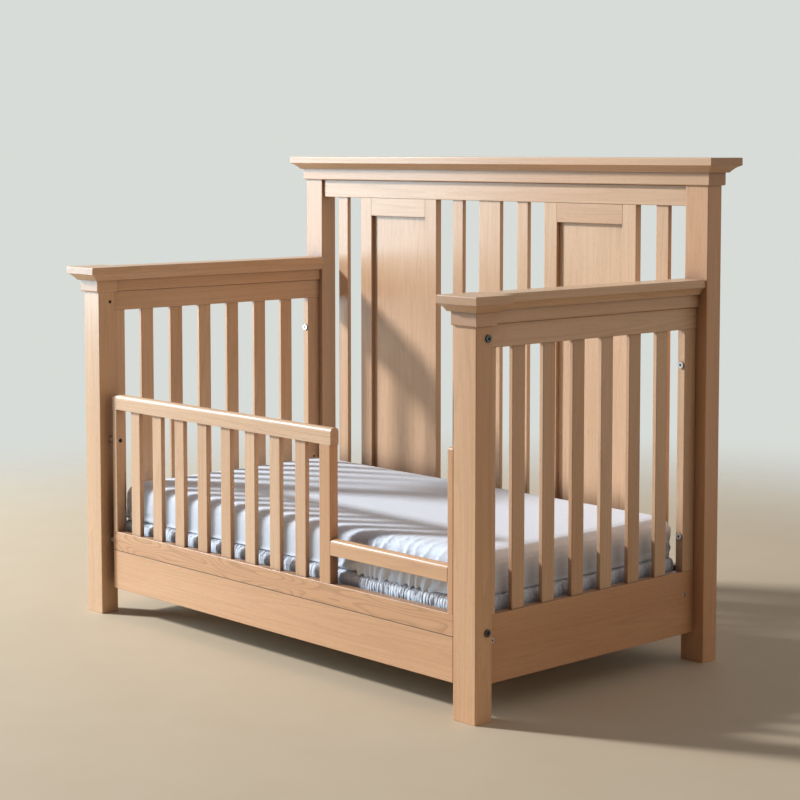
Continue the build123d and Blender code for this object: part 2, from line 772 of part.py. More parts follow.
# Cross dowels in the lower rails with the bolts that draw them up
with BuildPart() as barrel_nuts:
    for nut_y in (front_nut_y, back_nut_y):
        with Locations(facing_right(rail_outer_x, nut_y, nut_height)):
            Cylinder(nut_radius, nut_length, align=UNDER)
            Cylinder(bolt_radius / 2, socket_depth, align=UNDER, mode=Mode.SUBTRACT)
        with Locations(facing_front(rail_mid_x, nut_y, nut_height)):
            Cylinder(bolt_radius + fit, 2 * nut_radius, mode=Mode.SUBTRACT)
    mirror(about=Plane.YZ)
save(barrel_nuts, "barrel_nuts")

with BuildPart() as headboard_bolts:
    bolts(
        [facing_back(*rear_bolt_point)],
        bolt_radius,
        post_depth + nut_inset,
        bolt_head_radius,
        socket_radius,
    )
    mirror(about=Plane.YZ)
save(headboard_bolts, "headboard_bolts")

with BuildPart() as post_studs:
    with Locations(facing_back(rail_mid_x, panel_front_y - bolt_bite, nut_height)):
        Cylinder(bolt_radius, bolt_bite + nut_inset, align=ON_BASE)
    mirror(about=Plane.YZ)
save(post_studs, "post_studs")

# Mattress: crowned top, rounded edges, sides drawn in between the corners
def mattress_outline(half):
    """A mattress section: flat seat, rounded foot, upright side, soft shoulder and crowned top."""
    foot_inset = mattress_foot * (1 - diagonal)
    shoulder_inset = mattress_shoulder * (1 - diagonal)
    edge_z = mattress_thickness - mattress_crown
    with BuildLine() as side:
        Line((0, 0), (half - mattress_foot, 0))
        ThreePointArc(
            (half - mattress_foot, 0),
            (half - foot_inset, foot_inset),
            (half, mattress_foot),
        )
        Line((half, mattress_foot), (half, edge_z - mattress_shoulder))
        ThreePointArc(
            (half, edge_z - mattress_shoulder),
            (half - shoulder_inset, edge_z - shoulder_inset),
            (half - mattress_shoulder, edge_z),
        )
        mirror(about=Plane.YZ)
        ThreePointArc(
            (half - mattress_shoulder, edge_z),
            (0, mattress_thickness),
            (mattress_shoulder - half, edge_z),
        )
    make_face(side.edges())


mattress_seat = (0, mattress_y, mattress_bottom)
with BuildPart() as mattress:
    with BuildSketch(facing_front(*mattress_seat)):
        mattress_outline(half_mattress_x)
    extrude(amount=2 * half_mattress_y, both=True)
    with BuildSketch(facing_right(*mattress_seat)):
        mattress_outline(half_mattress_y)
    extrude(amount=2 * half_mattress_x, both=True, mode=Mode.INTERSECT)
    with BuildSketch(Plane(mattress_seat)) as plan:
        with BuildLine():
            for side in (-1, 1):
                ThreePointArc(
                    (-half_mattress_x, side * half_mattress_y),
                    (0, side * (half_mattress_y - mattress_draw)),
                    (half_mattress_x, side * half_mattress_y),
                )
                ThreePointArc(
                    (side * half_mattress_x, -half_mattress_y),
                    (side * (half_mattress_x - mattress_draw), 0),
                    (side * half_mattress_x, half_mattress_y),
                )
        make_face()
        fillet(plan.vertices(), mattress_corner)
    extrude(amount=mattress_thickness, mode=Mode.INTERSECT)
save(mattress, "mattress")
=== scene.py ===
# %% [markdown]
# # A convertible crib, set up as a toddler bed
# The wooden and steel pieces come ready-made from the CAD model, in metres, and stand exactly where they
# belong. This lesson gives them their finishes, makes the mattress and its fitted sheet, and sets up the
# floor, the lamps and the camera.

# %% Load the crib
import math

import bmesh
import bpy
import numpy as np
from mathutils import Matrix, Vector, noise


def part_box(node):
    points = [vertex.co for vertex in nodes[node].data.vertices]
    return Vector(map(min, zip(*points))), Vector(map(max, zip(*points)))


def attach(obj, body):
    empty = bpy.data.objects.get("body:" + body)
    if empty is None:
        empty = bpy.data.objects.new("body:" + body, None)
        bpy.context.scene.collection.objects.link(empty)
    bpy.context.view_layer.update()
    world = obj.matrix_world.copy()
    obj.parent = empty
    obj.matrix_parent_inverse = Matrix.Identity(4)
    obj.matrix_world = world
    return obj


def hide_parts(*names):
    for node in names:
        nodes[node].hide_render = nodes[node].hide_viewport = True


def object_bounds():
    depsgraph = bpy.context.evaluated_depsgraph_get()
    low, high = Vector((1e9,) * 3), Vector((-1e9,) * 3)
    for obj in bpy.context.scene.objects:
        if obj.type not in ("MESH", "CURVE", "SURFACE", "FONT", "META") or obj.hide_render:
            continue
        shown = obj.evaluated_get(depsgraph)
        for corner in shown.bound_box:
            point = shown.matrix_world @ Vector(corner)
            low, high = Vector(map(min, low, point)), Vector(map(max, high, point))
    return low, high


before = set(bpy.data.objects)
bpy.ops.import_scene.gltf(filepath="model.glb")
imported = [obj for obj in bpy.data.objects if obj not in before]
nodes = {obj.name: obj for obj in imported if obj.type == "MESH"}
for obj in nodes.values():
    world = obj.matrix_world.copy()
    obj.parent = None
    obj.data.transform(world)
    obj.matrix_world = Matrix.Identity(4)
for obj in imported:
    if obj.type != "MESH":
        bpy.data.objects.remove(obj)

cad_low, cad_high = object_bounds()
print("pieces from the CAD model:", len(nodes))
print("their box, in metres:", [round(h - l, 4) for l, h in zip(cad_low, cad_high)])

# %% [markdown]
# ## Helpers for the finishes
# Every finish below is a net of shader nodes. Nets can be drawn by hand in Blender's editor, but a script
# can be read, compared and run again, so these are written out. Colours are given as the hex values of a
# paint chart, and one function turns them into the linear light Blender works in. Another function adds a
# node: words in lower case are the node's own settings, and the rest are its inputs, given a number, an
# output to link, or another node, which stands for its first output. A third starts a finish with no nodes.

# %% Colour and shader helpers
def colour(code):
    channels = [int(code[i:i + 2], 16) / 255 for i in (1, 3, 5)]
    linear = [c / 12.92 if c <= 0.04045 else ((c + 0.055) / 1.055) ** 2.4 for c in channels]
    return (*linear, 1.0)


def add(tree, kind, **given):
    made = tree.nodes.new("ShaderNode" + kind)
    for word, value in given.items():
        if word[0].islower():
            setattr(made, word, value)
            continue
        place = int(word[1:]) if word[1:].isdigit() else word.replace("_", " ")
        if isinstance(value, bpy.types.Node):
            value = value.outputs[0]
        if isinstance(value, bpy.types.NodeSocket):
            tree.links.new(value, made.inputs[place])
        else:
            made.inputs[place].default_value = value
    return made


def new_finish(name):
    finish = bpy.data.materials.new(name)
    finish.use_nodes = True
    finish.node_tree.nodes.clear()
    return finish, finish.node_tree


print("a mid grey, #808080, in linear light:", round(colour("#808080")[0], 3))

# %% [markdown]
# ## Beech, cut from a log
# The crib is solid beech. Every timber has its grain along its length, and no two boards show the same
# rings. A log could be modelled and the boards cut out of it. Here each board reads its own patch of one
# noise instead, turned to the board's direction, because that costs nothing and suits a board of any size.
# A row of slats is a single CAD piece, so its slats are told apart by where they stand in the row.

# %% Where each board is cut from
GRAIN_TURN = {"x": (0, -math.pi / 2, 0), "y": (math.pi / 2, 0, 0), "z": (0, 0, 0)}
GRAIN_AXIS = {"x": (1, 0, 0), "y": (0, 1, 0), "z": (0, 0, 1)}
LOG_SIZE = (3, 3, 3)


def cut_from_log(tree, place, grain, slat_row):
    """Each point's place in the log, with the grain along Z, and a random value for its whole board."""
    board = add(tree, "ObjectInfo").outputs["Random"]
    if slat_row:
        axis, start, pitch = slat_row
        along = add(tree, "SeparateXYZ", Vector=place).outputs[axis]
        steps = add(tree, "Math", operation="MULTIPLY_ADD", I0=along, I1=1 / pitch, I2=-start / pitch)
        number = add(tree, "Math", operation="FLOOR", I0=steps)
        board = add(tree, "Math", operation="ADD", I0=board, I1=number)
    cut = add(tree, "TexWhiteNoise", noise_dimensions="1D", W=board)
    turned = add(tree, "Mapping", Vector=place, Rotation=GRAIN_TURN[grain])
    log = add(tree, "VectorMath", operation="MULTIPLY_ADD", I0=cut.outputs["Color"], I1=LOG_SIZE, I2=turned)
    return log, cut.outputs["Value"]


def grained(tree, log, across_mm, along_mm, detail, roughness):
    """Noise stretched along the grain, with its size in millimetres."""
    size = (1000 / across_mm, 1000 / across_mm, 1000 / along_mm)
    stretched = add(tree, "VectorMath", operation="MULTIPLY", I0=log, I1=size)
    made = add(tree, "TexNoise", Vector=stretched, Scale=1.0, Detail=detail, Roughness=roughness)
    return made.outputs["Fac"]


print("the grain can run along", sorted(GRAIN_TURN), "in a log", LOG_SIZE[0], "m long")

# %% [markdown]
# ## The figure of beech
# The rings of a flat-sawn beech board are long nested ovals, about 4 mm apart, with fine fibre streaks and
# short dark ray flecks between them. They could be a picture of a board, but that would repeat and stretch.
# The level lines of a smooth noise that is stretched along the grain have the same shape, so the rings are
# level lines. The sizes below are in millimetres, across and along the grain. Ray flecks are really 0.3 by
# 3 mm, and are drawn coarser to show at all.

# %% Rings, fibre and flecks
EASED = {"interpolation_type": "SMOOTHSTEP"}
RING_FIELD_MM = 55
RING_LINES = 17.0  # level lines from the noise's lowest value to its highest
TONE_MM = (90, 1000)
FIBRE_MM = (2.5, 150)
FLECK_MM = (1.4, 14)


def figure(tree, log, arch_mm):
    """The late wood of the rings, the broad tone, the fibre, the fine grit and the flecks picked from it."""
    field = grained(tree, log, RING_FIELD_MM, arch_mm, 1.2, 0.3)
    level = add(tree, "Math", operation="MULTIPLY", I0=field, I1=RING_LINES)
    ring = add(tree, "Math", operation="FRACT", I0=level)
    late_wood = add(tree, "MapRange", **EASED, Value=ring, From_Min=0.45, From_Max=0.98)
    tone = grained(tree, log, *TONE_MM, 3.0, 0.55)
    fibre = grained(tree, log, *FIBRE_MM, 2.0, 0.5)
    grit = grained(tree, log, *FLECK_MM, 2.0, 0.6)
    fleck = add(tree, "MapRange", **EASED, Value=grit, From_Min=0.56, From_Max=0.72)
    return late_wood, tone, fibre, grit, fleck


print("ray flecks are drawn", FLECK_MM[0], "by", FLECK_MM[1], "mm")

# %% [markdown]
# ## Rubbed edges and painted corner shade
# The crib's edges are sanded round by about a millimetre and drawn a little paler, partly as the rub of hands
# and partly as a painted highlight along the rounding. Inside corners and the narrow gaps between timbers get
# painted shade, which fades out towards the floor. Edges could be bevelled in every mesh and the shade painted
# on by hand.
# Blender's Bevel and Ambient Occlusion nodes find edges and corners on all the pieces at once, so they do it
# here.

# %% Edges and painted corner shade
EDGE_RADIUS = 0.0014
CORNER_SHADE_REACH = 0.08
SHADE_GONE_BELOW, SHADE_FULL_ABOVE = 0.02, 0.10


def edge_and_shade_masks(tree, normal, height):
    """The normal with the edges rounded off, and masks for paler edges and painted corner shade."""
    rounded = add(tree, "Bevel", samples=4, Radius=EDGE_RADIUS)
    bend = add(tree, "VectorMath", operation="DOT_PRODUCT", I0=normal, I1=rounded).outputs["Value"]
    # Paler edges: partly the rub of hands, partly a painted highlight along the rounding.
    rubbed_and_highlit = add(tree, "MapRange", **EASED, Value=bend, From_Min=1.0, From_Max=0.85, To_Max=0.06)
    # Painted shade: Ambient Occlusion darkens inside corners and narrow gaps, fading out below 0.1 m height.
    corner = add(tree, "AmbientOcclusion", samples=4, Distance=CORNER_SHADE_REACH).outputs["AO"]
    occlusion_shade = add(tree, "MapRange", **EASED, Value=corner, From_Min=0.9, From_Max=0.2, To_Max=0.85)
    above_floor = add(tree, "MapRange", **EASED, Value=height, From_Min=SHADE_GONE_BELOW, From_Max=SHADE_FULL_ABOVE)
    painted_corner_shade = add(tree, "Math", operation="MULTIPLY", I0=occlusion_shade, I1=above_floor)
    return rounded, rubbed_and_highlit, painted_corner_shade


# The reach printed here is that of the painted corner shade.
print("edges rounded by", EDGE_RADIUS * 1000, "mm, dust up to", CORNER_SHADE_REACH * 1000, "mm from a corner")

# %% [markdown]
# ## Beech, planed and lacquered
# Planed and sanded beech under a clear satin lacquer looks pale and slightly pink, with a broad, soft gloss.
# One blend of two browns would look like plastic. The colours go on in layers instead, each with a mask that
# says how much of it shows: the figure first, then the end grain, which drinks more lacquer, then the paler
# edges and the painted corner shade. A thin coat on top stands for the lacquer's own shine.

# %% Beech finish
SAPWOOD = ("#E4BB94", "#D6A981")
# Heights of the painted shadow line above a board's bottom edge: fully dark, then clear.
SHADOW_LINE_DARK, SHADOW_LINE_CLEAR = 0.0016, 0.0024


def satin_beech(name, grain, slat_row=None, arch_mm=1500, ring_strength=0.15, joint_z=None, tones=SAPWOOD):
    finish, tree = new_finish(name)
    place = add(tree, "TexCoord").outputs["Object"]
    height = add(tree, "SeparateXYZ", Vector=place).outputs["Z"]
    face = add(tree, "NewGeometry").outputs
    log, lot = cut_from_log(tree, place, grain, slat_row)
    late_wood, tone, fibre, grit, fleck = figure(tree, log, arch_mm)
    rounded, rubbed_and_highlit, painted_corner_shade = edge_and_shade_masks(tree, face["Normal"], height)

    broad = add(tree, "MapRange", Value=tone, From_Min=0.3, From_Max=0.7, To_Min=-0.3, To_Max=0.3)
    warm = add(tree, "Math", operation="ADD", use_clamp=True, I0=broad, I1=lot)
    late = add(tree, "Math", operation="MULTIPLY", I0=late_wood, I1=ring_strength)
    streak = add(tree, "MapRange", **EASED, Value=fibre, From_Min=0.42, From_Max=0.75, To_Max=0.22)
    ray = add(tree, "Math", operation="MULTIPLY", I0=fleck, I1=0.22)
    along = add(tree, "VectorMath", operation="DOT_PRODUCT", I0=face["True Normal"], I1=GRAIN_AXIS[grain])
    ends = add(tree, "Math", operation="ABSOLUTE", I0=along.outputs["Value"])
    end_grain = add(tree, "MapRange", **EASED, Value=ends, From_Min=0.75, From_Max=1.0, To_Max=0.4)
    # Painted light among these layers: the paler edges are partly a painted highlight, the corner colour is
    # painted shade.
    layers = [
        (warm, tones[1]), (late, "#AC7B51"), (streak, "#B98658"), (ray, "#966340"),
        (end_grain, "#A2724B"), (rubbed_and_highlit, "#EED4B8"), (painted_corner_shade, "#55301A"),
    ]
    if joint_z is not None:
        # Painted shadow: a dark line along the bottom edge, where this board is joined to the next one.
        dark, clear = joint_z + SHADOW_LINE_DARK, joint_z + SHADOW_LINE_CLEAR
        line = add(tree, "MapRange", **EASED, Value=height, From_Min=clear, From_Max=dark, To_Max=0.85)
        layers.append((line, "#4A2D1A"))
    base = colour(tones[0])
    for share, code in layers:
        base = add(tree, "Mix", data_type="RGBA", I0=share, I6=base, I7=colour(code)).outputs[2]

    # The lacquer sinks a little into the flecks and the late wood, so the gloss is broken up along the grain.
    gloss = add(tree, "MapRange", Value=grit, From_Min=0.3, From_Max=0.75, To_Min=0.52, To_Max=0.64)
    sunk = add(tree, "Math", operation="MULTIPLY_ADD", I0=late_wood, I1=0.4, I2=fleck)
    relief = add(tree, "Bump", invert=True, Strength=0.3, Distance=0.0002, Height=sunk, Normal=rounded)
    lacquer = add(
        tree, "BsdfPrincipled", Base_Color=base, Roughness=gloss, IOR=1.5, Normal=relief,
        Coat_Weight=0.35, Coat_Roughness=0.22,
    )
    add(tree, "OutputMaterial", Surface=lacquer)
    return finish


beech = {grain: satin_beech("beech_satin_lacquered_" + grain, grain) for grain in "xyz"}
print("plain beech finishes:", sorted(m.name for m in beech.values()))

# %% [markdown]
# ## Sapwood, heartwood and painted shade
# Beech is palest near the bark and turns orange, then red-brown, towards the heart. The apron, the guard's low
# bar, two of its posts and the crib's right-hand posts get warmer, darker tones than the panels, and the lower
# rails of the end panels the reddest. This is partly the boards' own heartwood and partly painted shade, as
# most of them stand on the right or low down, where less light reaches. Chance could hand out the tones, but
# then a board might not get the tone it should have, so the warmer boards get finishes of their own. The
# guard's lower rail is flat-sawn, with short arches and strong rings, and a painted shadow line along its joint
# above the apron.

# %% Warmer beech, partly painted shade
# Warmer, darker tones: partly heartwood, partly painted shade on boards that less light reaches.
HEARTWOOD_AND_SHADE = ("#E4B488", "#D39D70")
RED_HEART_AND_SHADE = ("#DDA87B", "#C88D5F")
rail_joint_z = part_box("guard_lower_rail")[0].z
beech_flat_sawn = satin_beech(
    "beech_satin_flat_sawn", "x", arch_mm=300, ring_strength=0.5, joint_z=rail_joint_z, tones=HEARTWOOD_AND_SHADE,
)
beech_heart_and_shade = {grain: satin_beech("beech_satin_heartwood_and_shade_" + grain, grain, tones=HEARTWOOD_AND_SHADE) for grain in "xz"}
beech_red_heart_and_shade = satin_beech("beech_satin_red_heart_and_shade", "y", tones=RED_HEART_AND_SHADE)
print("joint line of the guard's lower rail at", round(rail_joint_z, 4), "m")

# %% [markdown]
# ## Rows of slats
# Each row of slats is one CAD piece, so every slat in it would be the same board. Splitting the rows would
# be one way out. Numbering the slats inside the material leaves the pieces whole: the row's first edge and
# its pitch give each slat a number, and each number picks another cut of the same beech. The headboard's
# four slats are unevenly spaced, so spans of 0.3 m are counted there, none of which holds two slats.

# %% Beech for the rows of slats
SLAT_WIDTH = 0.039
GUARD_SLATS = 8
END_SLATS = 6
HEADBOARD_START, HEADBOARD_SPAN = -0.9, 0.3
guard_low, guard_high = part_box("guard_slats")
end_low, end_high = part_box("right_end_slats")
guard_pitch = (guard_high.x - guard_low.x - SLAT_WIDTH) / (GUARD_SLATS - 1)
end_pitch = (end_high.y - end_low.y - SLAT_WIDTH) / (END_SLATS - 1)
guard_start = guard_low.x + SLAT_WIDTH / 2 - guard_pitch / 2
end_start = end_low.y + SLAT_WIDTH / 2 - end_pitch / 2
beech_guard_slats = satin_beech("beech_satin_guard_slats", "z", ("X", guard_start, guard_pitch))
beech_end_slats = satin_beech("beech_satin_end_slats", "z", ("Y", end_start, end_pitch))
headboard_row = ("X", HEADBOARD_START, HEADBOARD_SPAN)
beech_headboard_slats = satin_beech("beech_satin_headboard_slats", "z", headboard_row)
print("slat pitch, guard and end panels:", round(guard_pitch, 4), round(end_pitch, 4))

# %% [markdown]
# ## Steel: black oxide, zinc plate and powder coat
# Connector bolts have a blackened, slightly oily skin that looks dark and soft. Nuts, sleeves and the long
# bolts are zinc plated: bright, with a cloudy crystal bloom, under a clear film that takes a little of the
# metal's mirror away. The support frame under the mattress is powder coated, which flows into a fine orange
# peel and looks like paint. Each could have a net of its own, but all three are clouds of tone with fine
# grit, worn edges and painted shade in the corners, so one function makes them. The grit is drawn 0.8 mm wide,
# which is coarser than it is, to show at all.

# %% Steel finishes
GRIT_MM = 0.8
WORN_RADIUS = 0.0006
SOCKET_SHADE_REACH = 0.005


def metal_finish(name, dark, light, cloud_mm, roughness, metallic, bump):
    finish, tree = new_finish(name)
    place = add(tree, "TexCoord").outputs["Object"]
    cloud = add(tree, "TexNoise", Vector=place, Scale=1000 / cloud_mm, Detail=4.0, Roughness=0.6)
    grit = add(tree, "TexNoise", Vector=place, Scale=1000 / GRIT_MM, Detail=2.0).outputs["Fac"]
    even = add(tree, "MapRange", Value=cloud.outputs["Fac"], From_Min=0.35, From_Max=0.65)
    rounded = add(tree, "Bevel", samples=4, Radius=WORN_RADIUS)
    normal = add(tree, "NewGeometry").outputs["Normal"]
    bend = add(tree, "VectorMath", operation="DOT_PRODUCT", I0=normal, I1=rounded).outputs["Value"]
    worn = add(tree, "MapRange", Value=bend, From_Min=1.0, From_Max=0.8, To_Max=0.5)
    # Painted shade: Ambient Occlusion darkens the key sockets and the edges round the heads.
    corner = add(tree, "AmbientOcclusion", samples=4, Distance=SOCKET_SHADE_REACH).outputs["AO"]
    socket_shade = add(tree, "MapRange", Value=corner, From_Min=0.95, From_Max=0.5, To_Max=0.9)
    base = colour(dark)
    for share, code in ((even, light), (worn, "#A9A8A5"), (socket_shade, "#1C1A18")):
        base = add(tree, "Mix", data_type="RGBA", I0=share, I6=base, I7=colour(code)).outputs[2]
    rough = add(tree, "MapRange", Value=grit, To_Min=roughness - 0.08, To_Max=roughness + 0.1)
    relief = add(tree, "Bump", Strength=bump, Distance=0.0001, Height=grit, Normal=rounded)
    skin = add(tree, "BsdfPrincipled", Base_Color=base, Roughness=rough, Metallic=metallic, Normal=relief)
    add(tree, "OutputMaterial", Surface=skin)
    return finish


black_oxide = metal_finish(
    "steel_black_oxide", "#4A4D50", "#66696C", cloud_mm=6, roughness=0.34, metallic=1.0, bump=0.2,
)
zinc_plate = metal_finish(
    "steel_zinc_plated", "#D4D6D8", "#ECEDED", cloud_mm=4, roughness=0.2, metallic=0.9, bump=0.25,
)
powder_coat = metal_finish(
    "steel_powder_coated", "#B4B5B2", "#C3C3C0", cloud_mm=60, roughness=0.5, metallic=0.0, bump=0.5,
)
print("steel finishes:", [m.name for m in (black_oxide, zinc_plate, powder_coat)])

# %% [markdown]
# ## Dressing the pieces
# Every CAD piece now takes its finish. Sixty pieces could be listed one by one, but a timber's name already
# says which way it runs: posts, stiles, slats and panel fields stand up, the end panels' rails and mouldings
# run front to back, and the rest runs along the crib. So only the steel, the rows of slats and the warmer
# boards, partly heartwood and partly painted shade, are listed.

# %% Dress the CAD pieces
steel_pieces = {
    "upper_post_bolts": black_oxide, "lower_post_bolts": black_oxide, "guard_bolts": black_oxide,
    "bracket_bolts": black_oxide, "stile_bolts": zinc_plate, "headboard_bolts": zinc_plate,
    "post_studs": zinc_plate, "barrel_nuts": zinc_plate, "guard_spacers": zinc_plate,
    "support_long_rails": powder_coat, "support_end_rails": powder_coat, "support_slats": powder_coat,
    "support_brackets": powder_coat,
}
# The end panels' lower rails take the reddest tone: partly heartwood, partly painted shade.
own_beech = {
    "guard_slats": beech_guard_slats, "left_end_slats": beech_end_slats, "right_end_slats": beech_end_slats,
    "headboard_slats": beech_headboard_slats, "guard_lower_rail": beech_flat_sawn,
    "left_end_lower_rail": beech_red_heart_and_shade, "right_end_lower_rail": beech_red_heart_and_shade,
}
UPRIGHT = ("post", "stile", "slat", "field")
FRONT_TO_BACK = ("end_top_rail", "rail_neck", "rail_crown", "post_cap", "post_neck")
# Boards with a warmer tone: partly heartwood, partly painted shade.
HEART_AND_SHADE_BOARDS = (
    "front_apron", "guard_low_bar", "guard_mid_post", "guard_right_post", "right_front_post",
    "right_headboard_post",
)
counts = {}
for name, piece in nodes.items():
    if name in steel_pieces:
        finish = steel_pieces[name]
    elif name in own_beech:
        finish = own_beech[name]
    elif any(word in name for word in FRONT_TO_BACK):
        finish = beech["y"]
    else:
        run = "z" if any(word in name for word in UPRIGHT) else "x"
        finish = (beech_heart_and_shade if name in HEART_AND_SHADE_BOARDS else beech)[run]
    piece.data.materials.clear()
    piece.data.materials.append(finish)
    counts[finish.name] = counts.get(finish.name, 0) + 1
print("pieces by finish:", counts)

# %% [markdown]
# ## A box that isn't quite a box
# A mattress and its sheet are boxes with round edges, a crowned top and sides that draw in a little between
# the corners. A cube with a bevel and a lattice could be pushed into that form. Pulling the points of a grid
# onto it is more exact, and it lets the squares be small where cloth will have to fold and large where it
# lies flat, so the helper takes the lines of its grid as three lists.

# %% Grid lines and the rounded box
WELD = 0.0005
SIDE_POWER = 9
CROWN_POWER = 5


def show(name, data):
    for face in data.polygons:
        face.use_smooth = True
    made = bpy.data.objects.new(name, data)
    bpy.context.scene.collection.objects.link(made)
    return made


def spread(*stops):
    """Grid lines from stop to stop: a first position, then pairs of next position and step."""
    lines = [stops[0]]
    for end, step in zip(stops[1::2], stops[2::2]):
        count = max(1, round((end - lines[-1]) / step))
        lines += list(np.linspace(lines[-1], end, count + 1)[1:])
    return lines


def rounded_box(name, lines, radius, crown, draw):
    """A closed box on those grid lines, with round edges, a crowned top and drawn-in sides."""
    low = Vector([axis[0] for axis in lines])
    high = Vector([axis[-1] for axis in lines])
    middle, half = (low + high) / 2, (high - low) / 2
    shape = bmesh.new()
    for axis in range(3):
        u, v = [i for i in range(3) if i != axis]
        for wall in (low[axis], high[axis]):
            rows = []
            for a in lines[u]:
                row = []
                for b in lines[v]:
                    point = Vector((0, 0, 0))
                    point[axis], point[u], point[v] = wall, a, b
                    row.append(shape.verts.new(point))
                rows.append(row)
            for near, far in zip(rows, rows[1:]):
                for k in range(len(near) - 1):
                    shape.faces.new((near[k], far[k], far[k + 1], near[k + 1]))
    bmesh.ops.remove_doubles(shape, verts=shape.verts, dist=WELD)
    bmesh.ops.recalc_face_normals(shape, faces=shape.faces)
    for vert in shape.verts:
        point = vert.co - middle
        kept = Vector([max(radius - h, min(h - radius, c)) for c, h in zip(point, half)])
        out = point - kept
        if out.length > 1e-6:
            point = kept + out.normalized() * radius
        x, y = point.x / half.x, point.y / half.y
        point.x -= draw * (1 - y * y) * x ** SIDE_POWER
        point.y -= draw * (1 - x * x) * y ** SIDE_POWER
        point.z -= crown * max(abs(x), abs(y)) ** CROWN_POWER * max(point.z, 0) / half.z
        vert.co = middle + point
    data = bpy.data.meshes.new(name)
    shape.to_mesh(data)
    shape.free()
    return show(name, data)


print("half a metre in steps of about 0.15:", [round(float(p), 3) for p in spread(0.0, 0.5, 0.15)])

# %% [markdown]
# ## The mattress core
# Under the sheet is a foam core in a woven ticking. It shows only from below, between the support slats, but
# it also gives the sheet something to lie on. The plain CAD block could stay there, but a real core has soft
# edges, and a sheet that fell on a sharp block would crease along them. It leaves a few millimetres of the
# mattress's box to the sheet and its hem.

# %% Mattress core
CORE_INSET = 0.011
CORE_TOP_INSET = 0.003
CORE_STEP = 0.016
CORE_RADIUS = 0.028
CROWN = 0.008
DRAW_IN = 0.003
core_low, core_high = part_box("mattress")
core_middle = (core_low + core_high) / 2
deck = core_low.z
inner_low = core_low + Vector((CORE_INSET, CORE_INSET, 0))
inner_high = core_high - Vector((CORE_INSET, CORE_INSET, CORE_TOP_INSET))
core_lines = [spread(l, h, CORE_STEP) for l, h in zip(inner_low, inner_high)]
core = rounded_box("mattress_core", core_lines, CORE_RADIUS, CROWN, DRAW_IN)
print("core points:", len(core.data.vertices))

# %% [markdown]
# ## The fitted sheet
# The sheet is one piece of white cotton that lies smooth on top, folds over the edges and is drawn in below
# by its elastic hem. At the climb-in gap it has come loose and hangs in small folds. Folds can be sculpted,
# but cloth that is left to fall finds truer ones, so this sheet is simulated. It starts as a rounded box a
# few millimetres outside the core, open below, with fine squares along the front and at the gap.

# %% Cut the sheet
HEM_TOP = deck + 0.040
SHEET_INSET = 0.004
SHEET_RADIUS = 0.030
# Steps of the grid, in metres, and the bands along the sheet's left, front and back edges that need fine ones.
FOLD_STEP, FRONT_STEP, EDGE_STEP = 0.0055, 0.0065, 0.010
FLAT_STEP_X, FLAT_STEP_Y = 0.018, 0.02
LEFT_BAND, FRONT_BAND, BACK_BAND = 0.06, 0.10, 0.05
gap_left, gap_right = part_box("guard_low_bar")[0].x, core_high.x - 0.03
sheet_low = core_low + Vector((SHEET_INSET, SHEET_INSET, 0))
sheet_high = core_high - Vector((SHEET_INSET, SHEET_INSET, 0))
fold_from = gap_left - 0.06
sheet_lines = [
    spread(
        sheet_low.x, sheet_low.x + LEFT_BAND, EDGE_STEP, fold_from, FLAT_STEP_X, sheet_high.x, FOLD_STEP,
    ),
    spread(
        sheet_low.y, sheet_low.y + FRONT_BAND, FRONT_STEP, sheet_high.y - BACK_BAND, FLAT_STEP_Y,
        sheet_high.y, EDGE_STEP,
    ),
    spread(sheet_low.z, sheet_high.z, FRONT_STEP),
]
sheet = rounded_box("fitted_sheet", sheet_lines, SHEET_RADIUS, CROWN, DRAW_IN)
trim = bmesh.new()
trim.from_mesh(sheet.data)
bmesh.ops.bisect_plane(
    trim, geom=trim.verts[:] + trim.edges[:] + trim.faces[:], plane_co=(0, 0, HEM_TOP), plane_no=(0, 0, 1),
    clear_inner=True, dist=0.001,
)
trim.to_mesh(sheet.data)
trim.free()
print("sheet points:", len(sheet.data.vertices), "with the climb-in gap from x =", round(gap_left, 3))

# %% [markdown]
# A taut sheet has no spare cloth, and would fall back flat. So along the gap the sheet starts already waved,
# with more length than the straight edge needs, and has to buckle as it falls. One function says how loose
# the sheet is at a point, and another gives the wave, uneven as real folds are. Elsewhere the hem and the
# middle of the top are held, because the elastic keeps the one in place and nothing stirs the other.

# %% Wave the loose cloth
FOLD_PITCH_AT_GAP = 0.036
FOLD_DEPTH = 0.0115
FLARE = 0.004
TUCK = 0.0045
RAGGED_DROP, RAGGED_LIFT = 0.018, 0.006
HELD_INLAND = 0.11


def smooth(value, start, end):
    t = max(0.0, min(1.0, (value - start) / (end - start)))
    return t * t * (3 - 2 * t)


def wander(*at):
    """A slow random wander between about -1 and 1, the same on every run."""
    return noise.noise(Vector(at))


def loose(p):
    """How loose the sheet is: 1 along the climb-in gap, less at the corners, 0 where it lies taut."""
    along = smooth(p.x, gap_left - 0.01, gap_left + 0.07)
    along *= 1 - smooth(p.x, gap_right - 0.03, gap_right + 0.03)
    corner = 0.6 * (1 - smooth(p.x, sheet_low.x + 0.03, sheet_low.x + 0.10))
    front = 1 - smooth(p.y, sheet_low.y + 0.035, sheet_low.y + 0.10)
    return max(along, corner) * front


def fold_wave(x, depth):
    """An uneven wave from 0 to 1 along the edge; the folds lean a little as they run down."""
    lean = x + depth * (0.25 + 0.9 * wander(x * 11, 4.4, 0))
    phase = lean / FOLD_PITCH_AT_GAP + 0.7 * wander(lean * 17, 1.3, 0)
    height = 0.75 + 0.55 * wander(x * 23, 8.1, 0)
    ripple = 0.2 * wander(lean * 60, depth * 20, 2.6)
    return max(0.0, min(1.0, height * (0.5 + 0.5 * math.sin(2 * math.pi * phase)) ** 1.4 + ripple))


